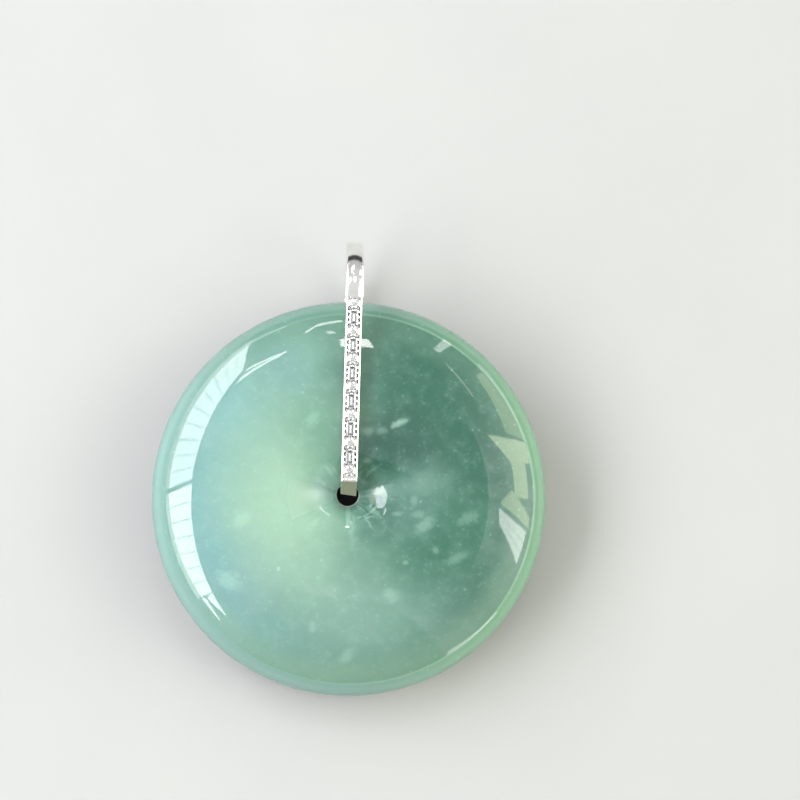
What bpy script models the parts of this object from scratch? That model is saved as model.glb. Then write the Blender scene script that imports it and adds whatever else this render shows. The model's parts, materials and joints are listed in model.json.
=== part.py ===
"""Jade donut pendant: a polished jade disc with a tiny bore, hung on a stone-set white-gold loop.

Metres, +Z up. The pieces are modelled in the pendant's own frame: the bore's axis is Z, the
front face looks along +Z and the loop bends over the rim at +Y. Stations along the loop are
given by their place in the YZ plane. At the end one empty lays the whole pendant down as it
lies when loose, face up, on the lower end of its back strip and on the jade's lower edge.
"""

import math

import bmesh
import bpy
from mathutils import Matrix, Vector

# Jade disc
DISC_DIAMETER = 0.0300
DISC_THICKNESS = 0.0070
BORE_DIAMETER = 0.00168
CREST_SHARE = 0.473  # radius of the highest circle on a face, as a share of the disc's radius
FACE_FULLNESS = 2.2  # 2 is an ellipse, and more is fuller towards the rim
FUNNEL_DEPTH = 0.00205  # from a face's highest circle down to the bore's edge
FUNNEL_POWER = 6.0  # 1 is a cone, and more keeps the face flat for longer before it dips
FUNNEL_STRETCH = 0.28  # how far the contours are drawn out along X, as a share of their radius
FUNNEL_PINCH = 0.10  # how much narrower the ends of those ovals are ground
DISC_OFFSET = Vector((0.00019, -0.00025, 0.0))  # the outline's centre, seen from the bore

# Loop of white gold
FACE_CLEARANCE = 0.00015  # between the jade's highest circle and each strip
BORE_CLEARANCE = 0.00007  # between the leg's corners and the bore
SHEET = 0.00050  # thickness of the leg, the tab and the back strip
BAR_THICKNESS = 0.00075  # stone-set bar on the front
BEND_THICKNESS = 0.00070  # at the top of the loop
BAR_WIDTH = 0.00122
BEND_WIDTH = 0.00134
BEND_TOP_WIDTH = 0.00114
BACK_WIDTH = 0.00100
CORNER_RADIUS = 0.00050  # inside of the two small bends at the bore
EYE_HEIGHT = 0.0039  # from the disc's edge up to the inside of the bend
STEP = 0.00004  # run of each small slope where the section changes
BREAK = 0.00004  # all sharp edges of the metal are broken by this much
BEND_BEVEL_WIDTH = 0.00027
BEND_BEVEL_DEPTH = 0.00016

# Clear stones, which lie in one long channel in the bar
ROUND_DIAMETER = 0.00076
LONG_STONE_LENGTH = 0.00120
LONG_STONE_WIDTH = 0.00070
STONE_SPACING = 0.00006
STONE_SINK = 0.00007  # from the bar's face down to a stone's girdle
SEAT_GAP = 0.00002
CHANNEL_DEPTH = 0.00046
LOWER_MARGIN = 0.00041  # from the bar's lower end to the lowest stone
UPPER_MARGIN = 0.00006
NOTCH_RADIUS = 0.00009
NOTCHES_PER_STONE = 5  # places in one repeat, of which the one beside a round stone stays whole

# Fineness of the facets
AROUND = 64
RIM_STEPS = 8
FUNNEL_STEPS = 9
BEND_STEPS = 21  # odd, so that a flat facet lies at the very top of the eye
CORNER_STEPS = 5

# Angles in degrees past which an edge is shown sharp
JADE_EDGE = 24.0
METAL_EDGE = 20.0
FACET_EDGE = 1.0

# Densities in kg per cubic metre, for the centre of gravity that the pendant rests by
JADE_DENSITY = 3330.0
GOLD_DENSITY = 15500.0
STONE_DENSITY = 3520.0

# Worked out from the sizes above
DISC_RADIUS = DISC_DIAMETER / 2
BORE_RADIUS = BORE_DIAMETER / 2
CREST_HEIGHT = DISC_THICKNESS / 2
CREST_RADIUS = DISC_RADIUS * CREST_SHARE
STRIP_HEIGHT = CREST_HEIGHT + FACE_CLEARANCE  # inner face of the bar and of the back strip
LEG_HALF_WIDTH = math.sqrt((BORE_RADIUS - BORE_CLEARANCE) ** 2 - SHEET**2)
BAR_START = SHEET + CORNER_RADIUS  # the bar's lower end, above the bore's axis
BEND_CENTRE = DISC_OFFSET.y + DISC_RADIUS + EYE_HEIGHT - STRIP_HEIGHT
BAR_FACE = STRIP_HEIGHT + BAR_THICKNESS
CHANNEL_WIDTH = max(ROUND_DIAMETER, LONG_STONE_WIDTH) + 2 * SEAT_GAP
PITCH = ROUND_DIAMETER + LONG_STONE_LENGTH + 2 * STONE_SPACING
FIRST_STONE = BAR_START + LOWER_MARGIN + ROUND_DIAMETER / 2
PAST_LAST_STONE = ROUND_DIAMETER / 2 + UPPER_MARGIN  # from its centre to the bar's upper end
STONE_ROOM = BEND_CENTRE - 2 * STEP - PAST_LAST_STONE - FIRST_STONE
ROUND_COUNT = int(STONE_ROOM / PITCH) + 1
BAR_END = FIRST_STONE + (ROUND_COUNT - 1) * PITCH + PAST_LAST_STONE


def clear_scene():
    for thing in list(bpy.data.objects):
        bpy.data.objects.remove(thing, do_unlink=True)


def material(name, colour, roughness, metallic=0.0, transmission=0.0, ior=1.5):
    made = bpy.data.materials.new(name)
    made.use_nodes = True
    made.diffuse_color = (*colour, 1.0)
    shader = made.node_tree.nodes["Principled BSDF"]
    shader.inputs["Base Color"].default_value = (*colour, 1.0)
    shader.inputs["Roughness"].default_value = roughness
    shader.inputs["Metallic"].default_value = metallic
    shader.inputs["Transmission Weight"].default_value = transmission
    shader.inputs["IOR"].default_value = ior
    return made


def finish_mesh(name, mesh_in_work):
    """The closed mesh in mesh_in_work as mesh data, its faces outward."""
    bmesh.ops.recalc_face_normals(mesh_in_work, faces=mesh_in_work.faces)
    data = bpy.data.meshes.new(name)
    mesh_in_work.to_mesh(data)
    mesh_in_work.free()
    return data


def add_object(name, data, look, sharp_degrees, parent):
    made = bpy.data.objects.new(name, data)
    bpy.context.scene.collection.objects.link(made)
    if not data.materials:
        data.materials.append(look)
    data.shade_smooth()
    data.set_sharp_from_angle(angle=math.radians(sharp_degrees))
    made.parent = parent
    return made


def join_rings(work, rings, closed):
    """Faces between each ring of points and the next, and from the last to the first if closed."""
    pairs = list(zip(rings, rings[1:]))
    if closed:
        pairs.append((rings[-1], rings[0]))
    for ring, following in pairs:
        for i in range(len(ring)):
            j = (i + 1) % len(ring)
            work.faces.new((ring[i], ring[j], following[j], following[i]))


# Jade disc


def blend(start, end, share):
    return start + (end - start) * share


def face_section():
    """The front face's domed part as (radius, height, oval), from its crest out to the rim.

    It is a quarter of a superellipse. Oval is 0: all its contours are round.
    """
    power = 2 / FACE_FULLNESS
    points = []
    for i in range(RIM_STEPS + 1):
        turn = math.pi / 2 * i / RIM_STEPS
        radius = blend(CREST_RADIUS, DISC_RADIUS, math.sin(turn) ** power)
        points.append((radius, CREST_HEIGHT * math.cos(turn) ** power, 0.0))
    return points


def funnel_section():
    """The front funnel as (radius, height, oval), from the crest in to the bore's edge.

    The contours are round at both ends, and fully oval two thirds of the way to the bore.
    """
    points = []
    for i in range(1, FUNNEL_STEPS + 1):
        share = math.sin(math.pi / 2 * i / FUNNEL_STEPS)
        radius = blend(CREST_RADIUS, BORE_RADIUS, share)
        height = CREST_HEIGHT - FUNNEL_DEPTH * share**FUNNEL_POWER
        points.append((radius, height, 6.75 * share**2 * (1 - share)))
    return points


def disc_section():
    """The disc's closed section: front face, rim, back face and bore."""
    outer = face_section()
    inner = funnel_section()
    back = [(radius, -height, oval) for radius, height, oval in outer[-2::-1] + inner]
    return outer + back + inner[::-1]


def ring_point(radius, height, oval, turn):
    """One point of a contour. Wider contours drift to the outline's own centre."""
    outward = (radius - BORE_RADIUS) / (DISC_RADIUS - BORE_RADIUS)
    drawn_out = FUNNEL_STRETCH * math.cos(2 * turn) + FUNNEL_PINCH * math.cos(4 * turn)
    reach = radius * (1 + oval * drawn_out)
    return DISC_OFFSET * outward + Vector((reach * math.cos(turn), reach * math.sin(turn), height))


def disc_mesh():
    """The section carried once round the bore."""
    work = bmesh.new()
    turns = [2 * math.pi * i / AROUND for i in range(AROUND)]
    rings = [
        [work.verts.new(ring_point(*point, turn)) for turn in turns] for point in disc_section()
    ]
    join_rings(work, rings, closed=True)
    return finish_mesh("jade_disc", work)


# Loop of white gold


def station(inner, outward, half_width, thickness, bevel_width=BREAK, bevel_depth=BREAK):
    """The strip's section at one point of its route, as eight corners.

    inner is the point (y, z) on the strip's inner face, and outward the unit direction through
    the strip to its outer face, whose two long edges carry the bevel.
    """
    corners = [
        (-half_width + BREAK, 0.0),
        (half_width - BREAK, 0.0),
        (half_width, BREAK),
        (half_width, thickness - bevel_depth),
        (half_width - bevel_width, thickness),
        (-half_width + bevel_width, thickness),
        (-half_width, thickness - bevel_depth),
        (-half_width, BREAK),
    ]
    return [
        Vector((x, inner[0] + outward[0] * out, inner[1] + outward[1] * out))
        for x, out in corners
    ]


def corner_stations(side, strip_half_width):
    """The small bend at the bore, from the leg to the strip on the front (1) or back (-1)."""
    centre_y = SHEET + CORNER_RADIUS
    centre_z = STRIP_HEIGHT - CORNER_RADIUS
    made = []
    for i in range(CORNER_STEPS + 1):
        share = i / CORNER_STEPS
        turn = math.pi / 2 * share
        outward = (-math.cos(turn), side * math.sin(turn))
        inner = (
            centre_y + CORNER_RADIUS * outward[0],
            side * centre_z + CORNER_RADIUS * outward[1],
        )
        half_width = blend(LEG_HALF_WIDTH, strip_half_width, share)
        made.append(station(inner, outward, half_width, SHEET))
    return made


def bend_size(front, top, back, share):
    """A size along the bend: it eases from its front value to the top, then runs on to the back."""
    if share < 0.5:
        return blend(front, top, (2 * share) ** 2)
    return blend(top, back, 2 * share - 1)


def bend_stations():
    """The wide polished bend over the rim, from the front to the back, thinning as it goes."""
    made = []
    for i in range(BEND_STEPS + 1):
        share = i / BEND_STEPS
        turn = math.pi * share
        outward = (math.sin(turn), math.cos(turn))
        inner = (BEND_CENTRE + STRIP_HEIGHT * outward[0], STRIP_HEIGHT * outward[1])
        made.append(
            station(
                inner,
                outward,
                bend_size(BEND_WIDTH, BEND_TOP_WIDTH, BACK_WIDTH, share) / 2,
                bend_size(BAR_THICKNESS, BEND_THICKNESS, SHEET, share),
                blend(BEND_BEVEL_WIDTH, BREAK, share),
                blend(BEND_BEVEL_DEPTH, BREAK, share),
            )
        )
    return made


def bail_mesh():
    """The closed loop: leg, tab, stone-set bar, bend, back strip and back to the leg."""
    front = (0.0, 1.0)
    bar_half = BAR_WIDTH / 2
    bar = [
        station((BAR_START + STEP, STRIP_HEIGHT), front, bar_half, BAR_THICKNESS),
        station((BAR_END, STRIP_HEIGHT), front, bar_half, BAR_THICKNESS),
        station(
            (BAR_END + STEP, STRIP_HEIGHT),
            front,
            BEND_WIDTH / 2,
            BAR_THICKNESS,
            BEND_BEVEL_WIDTH,
            BEND_BEVEL_DEPTH,
        ),
    ]
    tab = corner_stations(1, LEG_HALF_WIDTH)
    back_corner = corner_stations(-1, BACK_WIDTH / 2)
    route = tab + bar + bend_stations() + back_corner[::-1]
    work = bmesh.new()
    rings = [[work.verts.new(point) for point in section] for section in route]
    join_rings(work, rings, closed=True)
    return finish_mesh("bail", work)


def round_stone_places():
    return [FIRST_STONE + PITCH * i for i in range(ROUND_COUNT)]


def channel_outline():
    """Half the channel's outline in the bar's face, from its lower to its upper end, as (x, y).

    Small notches part the wall into the beads that hold the stones.
    """
    half = CHANNEL_WIDTH / 2
    lower = FIRST_STONE - ROUND_DIAMETER / 2 - SEAT_GAP
    upper = round_stone_places()[-1] + ROUND_DIAMETER / 2 + SEAT_GAP
    points = [(half, lower)]
    grid = PITCH / NOTCHES_PER_STONE
    reach = NOTCHES_PER_STONE // 2
    for place in round_stone_places():
        for step in range(-reach, reach + 1):
            middle = place + step * grid
            if step == 0 or not lower < middle - NOTCH_RADIUS < middle + NOTCH_RADIUS < upper:
                continue
            for turn in (-90, -30, 30, 90):
                angle = math.radians(turn)
                across = half + NOTCH_RADIUS * math.cos(angle)
                points.append((across, middle + NOTCH_RADIUS * math.sin(angle)))
    points.append((half, upper))
    return points


def channel_cutter(look, parent):
    """The channel as a solid to be cut from the bar, open at its front."""
    right = channel_outline()
    outline = right + [(-x, y) for x, y in reversed(right)]
    work = bmesh.new()
    floor = BAR_FACE - CHANNEL_DEPTH
    corners = [work.verts.new((x, y, floor)) for x, y in outline]
    bottom = work.faces.new(corners)
    raised = bmesh.ops.extrude_face_region(work, geom=[bottom])["geom"]
    lifted = [item for item in raised if isinstance(item, bmesh.types.BMVert)]
    bmesh.ops.translate(work, verts=lifted, vec=(0.0, 0.0, CHANNEL_DEPTH + BAR_THICKNESS))
    data = finish_mesh("channel_cutter", work)
    cutter = add_object("channel_cutter", data, look, METAL_EDGE, parent)
    cutter.hide_render = True
    cutter.display_type = "WIRE"
    return cutter


# Clear stones


def hull_mesh(name, points):
    work = bmesh.new()
    for point in points:
        work.verts.new(point)
    bmesh.ops.convex_hull(work, input=list(work.verts))
    bmesh.ops.dissolve_limit(
        work, angle_limit=math.radians(0.5), verts=list(work.verts), edges=list(work.edges)
    )
    return finish_mesh(name, work)


def circle_points(count, radius, height, first_degrees=0.0):
    turns = [math.radians(first_degrees) + 2 * math.pi * i / count for i in range(count)]
    return [(radius * math.cos(t), radius * math.sin(t), height) for t in turns]


def round_stone_mesh():
    """A brilliant: table, crown, girdle and pavilion, with the girdle's lower edge at height 0.

    Its proportions are shares of its radius, as a cutter gives them.
    """
    radius = ROUND_DIAMETER / 2
    girdle = 0.05 * radius
    crown_top = girdle + 0.30 * radius
    kite_height = girdle + 0.17 * radius
    pavilion = 0.86 * radius
    table_radius = 0.56 * radius
    kite_radius = 0.79 * radius
    lower_radius = 0.24 * radius
    lower_height = 0.80 * pavilion
    half_turn = 360 / 16  # the kites' corners stand between the table's
    points = circle_points(8, table_radius, crown_top)
    points += circle_points(8, kite_radius, kite_height, half_turn)
    points += circle_points(16, radius, girdle)
    points += circle_points(16, radius, 0.0)
    points += circle_points(8, lower_radius, -lower_height, half_turn)
    points.append((0.0, 0.0, -pavilion))
    return hull_mesh("round_stone", points)


def rectangle_points(half_x, half_y, height):
    return [(x, y, height) for x in (-half_x, half_x) for y in (-half_y, half_y)]


def long_stone_mesh():
    """A step cut: table, one crown step, girdle, and a pavilion that ends in a keel.

    Its steps are shares of its half width, the same on its sides and on its ends.
    """
    half_x = LONG_STONE_WIDTH / 2
    half_y = LONG_STONE_LENGTH / 2
    girdle = 0.05 * half_x
    steps = [  # how far each step stands in from the edge, and its height
        (0.34 * half_x, girdle + 0.26 * half_x),
        (0.14 * half_x, girdle + 0.16 * half_x),
        (0.0, girdle),
        (0.0, 0.0),
        (0.45 * half_x, -0.50 * half_x),
    ]
    keel = 0.90 * half_x
    points = [(0.0, half_y - half_x, -keel), (0.0, half_x - half_y, -keel)]
    for inset, height in steps:
        points += rectangle_points(half_x - inset, half_y - inset, height)
    return hull_mesh("long_stone", points)


def set_stones(look, parent):
    """One round stone at each place, and a long one between each and the next."""
    height = BAR_FACE - STONE_SINK
    round_data = round_stone_mesh()
    long_data = long_stone_mesh()
    stones = []
    for i, place in enumerate(round_stone_places()):
        stone = add_object(f"round_stone_{i + 1}", round_data, look, FACET_EDGE, parent)
        stone.location = (0.0, place, height)
        stones.append(stone)
    for i, place in enumerate(round_stone_places()[:-1]):
        stone = add_object(f"long_stone_{i + 1}", long_data, look, FACET_EDGE, parent)
        stone.location = (0.0, place + PITCH / 2, height)
        stones.append(stone)
    return stones


# Resting place


def evaluated_triangles(thing, graph):
    """The object's triangles in the pendant's own frame."""
    evaluated = thing.evaluated_get(graph)
    data = evaluated.to_mesh()
    data.calc_loop_triangles()
    place = thing.matrix_basis
    points = [place @ vertex.co for vertex in data.vertices]
    found = [[points[i] for i in triangle.vertices] for triangle in data.loop_triangles]
    evaluated.to_mesh_clear()
    return found


def mass_moments(triangles, density):
    """Mass, and mass times centre, of the closed shape that the triangles bound."""
    mass = 0.0
    moment = Vector()
    for a, b, c in triangles:
        part = density * a.dot(b.cross(c)) / 6
        mass += part
        moment += part * (a + b + c) / 4
    return mass, moment


def lower_hull(points):
    """The lower edge of the convex outline of (y, z) points, from low y to high y."""
    hull = []
    for y, z in sorted(points):
        while len(hull) > 1:
            (y1, z1), (y2, z2) = hull[-2:]
            if (y2 - y1) * (z - z1) - (z2 - z1) * (y - y1) > 0:
                break
            hull.pop()
        hull.append((y, z))
    return hull


def resting_matrix(pieces):
    """The turn about X, and the shift, that lay the pendant down on its lowest edge.

    pieces is a list of (object, density). The origin ends up at the middle of the box's base.
    """
    graph = bpy.context.evaluated_depsgraph_get()
    mass = 0.0
    moment = Vector()
    corners = []
    for thing, density in pieces:
        triangles = evaluated_triangles(thing, graph)
        part_mass, part_moment = mass_moments(triangles, density)
        mass += part_mass
        moment += part_moment
        corners += [corner for triangle in triangles for corner in triangle]
    balance = (moment / mass).y
    edge = lower_hull([(corner.y, corner.z) for corner in corners])
    (y1, z1), (y2, z2) = next(
        pair for pair in zip(edge, edge[1:]) if pair[0][0] <= balance <= pair[1][0]
    )
    turn = Matrix.Rotation(-math.atan2(z2 - z1, y2 - y1), 4, "X")
    turned = [turn @ corner for corner in corners]
    lows = [min(corner[axis] for corner in turned) for axis in range(3)]
    highs = [max(corner[axis] for corner in turned) for axis in range(3)]
    shift = Vector((-(lows[0] + highs[0]) / 2, -(lows[1] + highs[1]) / 2, -lows[2]))
    print(f"mass {mass * 1000:.2f} g, balance point {balance * 1000:.2f} mm above the bore")
    return Matrix.Translation(shift) @ turn


def build():
    clear_scene()
    jade = material("jade", (0.36, 0.60, 0.49), 0.08, ior=1.66)
    white_gold = material("white_gold", (0.86, 0.86, 0.84), 0.12, metallic=1.0)
    clear_stone = material("clear_stone", (0.97, 0.97, 0.98), 0.0, transmission=1.0, ior=2.4)

    pendant = bpy.data.objects.new("pendant", None)
    bpy.context.scene.collection.objects.link(pendant)

    disc = add_object("jade_disc", disc_mesh(), jade, JADE_EDGE, pendant)
    bail = add_object("bail", bail_mesh(), white_gold, METAL_EDGE, pendant)
    channel = bail.modifiers.new("channel", "BOOLEAN")
    channel.operation = "DIFFERENCE"
    channel.solver = "EXACT"
    channel.object = channel_cutter(white_gold, pendant)
    stones = set_stones(clear_stone, pendant)

    bpy.context.view_layer.update()
    pieces = [(disc, JADE_DENSITY), (bail, GOLD_DENSITY)]
    pieces += [(stone, STONE_DENSITY) for stone in stones]
    pendant.matrix_world = resting_matrix(pieces)
    bpy.context.view_layer.update()
    turned = math.degrees(pendant.rotation_euler.x)
    print(f"{ROUND_COUNT} round stones, pendant turned {turned:.3f} degrees about X")
    print("origin of the pendant's own frame:", tuple(round(v, 7) for v in pendant.location))


build()
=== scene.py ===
# %% [markdown]
# # A jade ring on a stone-set loop
#
# The object is a polished jade disc with a tiny bore. A narrow loop of white gold runs through
# the bore, comes up in front, crosses the face as a straight bar set with clear stones, bends
# round the rim and goes back to the bore along the rear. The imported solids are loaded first
# and stay where they are: everything that is made here lies on them or stands for one of them.

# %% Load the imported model
import json
import math

import bmesh
import bpy
from mathutils import Matrix, Vector


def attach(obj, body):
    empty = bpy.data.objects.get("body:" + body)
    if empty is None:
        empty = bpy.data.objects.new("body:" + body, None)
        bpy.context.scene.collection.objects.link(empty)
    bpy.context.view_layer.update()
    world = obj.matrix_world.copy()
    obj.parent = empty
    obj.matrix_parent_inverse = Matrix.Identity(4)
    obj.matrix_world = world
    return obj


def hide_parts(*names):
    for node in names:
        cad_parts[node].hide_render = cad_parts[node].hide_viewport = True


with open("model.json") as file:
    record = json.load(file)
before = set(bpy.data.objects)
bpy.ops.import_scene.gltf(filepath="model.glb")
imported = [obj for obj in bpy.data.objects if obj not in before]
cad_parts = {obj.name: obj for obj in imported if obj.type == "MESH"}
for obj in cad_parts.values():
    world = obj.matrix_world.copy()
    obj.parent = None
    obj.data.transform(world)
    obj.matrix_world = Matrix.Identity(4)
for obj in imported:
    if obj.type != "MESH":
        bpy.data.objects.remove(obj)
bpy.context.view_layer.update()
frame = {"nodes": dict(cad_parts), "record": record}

print("solids:", ", ".join(sorted(frame["nodes"])))

# %% [markdown]
# ## The pendant's own frame
#
# Loose, the pendant lies on its back strip and on the jade's lower edge, so it leans a few
# degrees. A jeweller measures along the bore's axis, so the pieces are shaped in the pendant's
# own frame, with the bore's axis as Z and the loop's bend at +Y, and laid down at the end. The
# record's mount on the back strip tells how it lies: its axis gives the lean, and its place is
# the middle of the strip's straight part.

# %% Find how the pendant lies
MM = 0.001
BAR_START = 1.0 * MM  # the bar's lower end, above the bore's axis
BEND_CENTRE = 15.0 * MM
STRIP_HEIGHT = 3.65 * MM  # inner face of the bar and of the back strip, from the disc's middle
SHEET = 0.50 * MM

back_strip = next(m for m in frame["record"]["mounts"] if m["name"] == "back_strip")
lean = math.atan2(back_strip["axis"][1], -back_strip["axis"][2])
lying = Matrix.Rotation(lean, 4, "X")
own_place = Vector((0.0, (BAR_START + BEND_CENTRE) / 2, -STRIP_HEIGHT - SHEET))
lying.translation = Vector(back_strip["pos_m"]) - lying @ own_place
print(f"lean {math.degrees(lean):.3f} degrees, bore's middle at {lying.translation[:]}")

# %% [markdown]
# ## Helpers for node trees
#
# Geometry Nodes and materials are both built from nodes. A formula with many terms is hard to
# read as a list of nodes, so a Field stands for one socket, and Python's own signs work on
# it: each + or * adds one Math node. The same class serves both kinds of tree.


# %% A socket that takes part in formulas
class Field:
    def __init__(self, tree, socket):
        self.tree = tree
        self.socket = socket

    def math(self, operation, *others):
        node = self.tree.nodes.new("ShaderNodeMath")
        node.operation = operation
        for place, value in enumerate((self, *others)):
            put(self.tree, node.inputs[place], value)
        return Field(self.tree, node.outputs[0])

    def __add__(self, other):
        return self.math("ADD", other)

    def __sub__(self, other):
        return self.math("SUBTRACT", other)

    def __mul__(self, other):
        return self.math("MULTIPLY", other)

    def __truediv__(self, other):
        return self.math("DIVIDE", other)

    def __pow__(self, other):
        return self.math("POWER", other)

    def over(self, limit):
        return self.math("GREATER_THAN", limit)

    def between(self, low, high):
        """0 below low, 1 above high and a soft step in between."""
        node = self.tree.nodes.new("ShaderNodeMapRange")
        node.interpolation_type = "SMOOTHSTEP"
        put(self.tree, node.inputs["Value"], self)
        put(self.tree, node.inputs["From Min"], low)
        put(self.tree, node.inputs["From Max"], high)
        return Field(self.tree, node.outputs["Result"])


def put(tree, socket, value):
    """Links a Field or a socket to an input, or sets the input to a plain value."""
    if isinstance(value, Field):
        value = value.socket
    if isinstance(value, bpy.types.NodeSocket):
        tree.links.new(value, socket)
    else:
        socket.default_value = value


def add_node(tree, kind, output=0, inputs=None, **settings):
    """One node with its settings and inputs, returned as the Field of one of its outputs."""
    node = tree.nodes.new(kind)
    for name, value in settings.items():
        setattr(node, name, value)
    for name, value in (inputs or {}).items():
        put(tree, node.inputs[name], value)
    return Field(tree, node.outputs[output])


def apart(tree, vector):
    """The X, Y and Z of a vector as three Fields."""
    node = tree.nodes.new("ShaderNodeSeparateXYZ")
    put(tree, node.inputs[0], vector)
    return [Field(tree, socket) for socket in node.outputs]


def together(tree, x, y, z):
    return add_node(tree, "ShaderNodeCombineXYZ", inputs={"X": x, "Y": y, "Z": z})


# %% [markdown]
# A Geometry Nodes tree gets its sizes through named inputs, as a jig has its marked stops. The
# tree is run once on an empty mesh, and its result becomes plain mesh data of one piece.


# %% Build, run and lay down
def new_shape_tree(name, sizes):
    """A tree with one named input for each size, and the Fields of those inputs."""
    tree = bpy.data.node_groups.new(name, "GeometryNodeTree")
    for size, kind in sizes.items():
        tree.interface.new_socket(size, in_out="INPUT", socket_type="NodeSocket" + kind)
    tree.interface.new_socket("Geometry", in_out="OUTPUT", socket_type="NodeSocketGeometry")
    group = tree.nodes.new("NodeGroupInput")
    return tree, {size: Field(tree, group.outputs[size]) for size in sizes}


def end_shape_tree(tree, geometry, material):
    solid = add_node(tree, "GeometryNodeRealizeInstances", inputs={"Geometry": geometry})
    dressed = add_node(
        tree, "GeometryNodeSetMaterial", inputs={"Geometry": solid, "Material": material}
    )
    out = tree.nodes.new("NodeGroupOutput")
    put(tree, out.inputs[0], dressed)


def run_shape_tree(name, tree, values):
    """The tree's result for these values, as the mesh of a new object in the pendant's frame."""
    maker = bpy.data.objects.new(name + "_maker", bpy.data.meshes.new(name + "_maker"))
    bpy.context.scene.collection.objects.link(maker)
    modifier = maker.modifiers.new("shape", "NODES")
    modifier.node_group = tree
    sockets = {s.name: s.identifier for s in tree.interface.items_tree if s.in_out == "INPUT"}
    for size, value in values.items():
        modifier[sockets[size]] = value
    bpy.context.view_layer.update()
    ready = maker.evaluated_get(bpy.context.evaluated_depsgraph_get())
    data = bpy.data.meshes.new_from_object(ready)
    bpy.data.objects.remove(maker)
    data.name = name
    return data


def lay_down(name, data, slot, *nodes):
    """Places a finished mesh as the pendant lies, and hides the imported solids that it stands for.
    """
    work = bmesh.new()
    work.from_mesh(data)
    bmesh.ops.recalc_face_normals(work, faces=work.faces)
    bmesh.ops.transform(work, matrix=lying, verts=work.verts)
    open_edges = sum(not edge.is_manifold for edge in work.edges)
    work.to_mesh(data)
    work.free()
    piece = bpy.data.objects.new(name, data)
    bpy.context.scene.collection.objects.link(piece)
    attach(piece, "root")
    if nodes:
        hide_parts(*nodes)
    triangles = sum(len(face.vertices) - 2 for face in data.polygons)
    print(f"{name}: {triangles} triangles, {open_edges} open edges")


# %% [markdown]
# ## Surface finishes
#
# Each finish is a small node tree on Object coordinates. Because the pieces lie in the packed
# model's frame, a Mapping node first turns those coordinates back into the pendant's own, in
# which the bore is the centre and every place can be named in millimetres.


# %% Start a finish
def new_finish(name):
    """A material, its shader node, and coordinates in millimetres from the bore's middle."""
    finish = bpy.data.materials.new(name)
    finish.use_nodes = True
    tree = finish.node_tree
    shader = tree.nodes["Principled BSDF"]
    place = add_node(tree, "ShaderNodeTexCoord", "Object")
    own = add_node(
        tree,
        "ShaderNodeMapping",
        inputs={
            "Vector": place,
            "Location": lying.translation,
            "Rotation": (lean, 0.0, 0.0),
            "Scale": (MM, MM, MM),
        },
        vector_type="TEXTURE",
    )
    return finish, tree, shader, own


def noise(tree, vector, scale, detail=2.0, roughness=0.5, output="Fac", **inputs):
    values = {"Vector": vector, "Scale": scale, "Detail": detail, "Roughness": roughness}
    return add_node(tree, "ShaderNodeTexNoise", output, {**values, **inputs})


def mix(tree, share, first, second, mode="MIX"):
    """A colour between first and second. Either may be a socket or a plain colour."""
    node = tree.nodes.new("ShaderNodeMix")
    node.data_type = "RGBA"
    node.blend_type = mode
    colours = [socket for socket in node.inputs if socket.type == "RGBA"]
    put(tree, node.inputs[0], share)
    for socket, colour in zip(colours, (first, second)):
        put(tree, socket, (*colour, 1.0) if isinstance(colour, tuple) else colour)
    result = next(socket for socket in node.outputs if socket.type == "RGBA")
    return Field(tree, result)


# %% [markdown]
# ## Jade
#
# Fine jade is a felt of tiny crystals: light enters it, spreads and comes out again, so it
# glows at thin edges and its colour lies in soft clouds. The shader scatters light under a
# polished skin. Its colour is built up in layers, each mixed over the one before it, from the
# clouds to the rays of grinding on top, and several layers also hold painted light and shade.
#
# The clouds are named places with a radius and a colour. They hold the stone's own colour
# zones, and also painted light and shade: they are lighter at the left, where the softbox
# falls, and darker towards the upper right, where the darkest ones, right of the bar, carry its
# painted shadow. One light cloud just left of the bore is painted light against the funnel's
# shade. Noise moves every point a little before it is compared with them, and so loosens
# their borders.

# %% Clouds of colour, with painted light and shade
DEEP_TEAL = (0.020, 0.096, 0.064)  # where there is no cloud
CLOUD_CORE = 0.15  # share of a cloud's radius that has its full colour
DRIFT = 3.0  # millimetres over which the noise moves a point
# The clouds carry painted light at the left and beside the bore, and painted shade at the upper
# right, where the bar's shadow falls.
CLOUDS_AND_PAINTED_LIGHT = [  # centre x, y and radius in millimetres, and colour
    ((-9.8, 13.2), 15.6, (0.20, 0.35, 0.28)),
    ((-9.8, -3.9), 18.0, (0.135, 0.275, 0.285)),
    ((-10.2, 5.8), 4.5, (0.160, 0.30, 0.295)),
    ((-5.4, 9.7), 4.2, (0.140, 0.265, 0.240)),
    ((0.5, -6.3), 12.8, (0.17, 0.28, 0.24)),
    ((-3.3, 0.1), 10.0, (0.25, 0.39, 0.29)),
    ((-1.2, 4.5), 5.7, (0.13, 0.26, 0.19)),
    ((3.3, -2.7), 8.3, (0.10, 0.21, 0.16)),
    ((7.8, -3.1), 7.1, (0.03, 0.12, 0.08)),
    ((3.2, 3.6), 4.8, (0.02, 0.08, 0.06)),
    ((-1.6, 0.4), 2.4, (0.25, 0.41, 0.35)),
    ((4.1, -0.4), 3.9, (0.07, 0.16, 0.13)),
    ((2.4, -1.6), 2.7, (0.05, 0.13, 0.10)),
]

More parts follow.
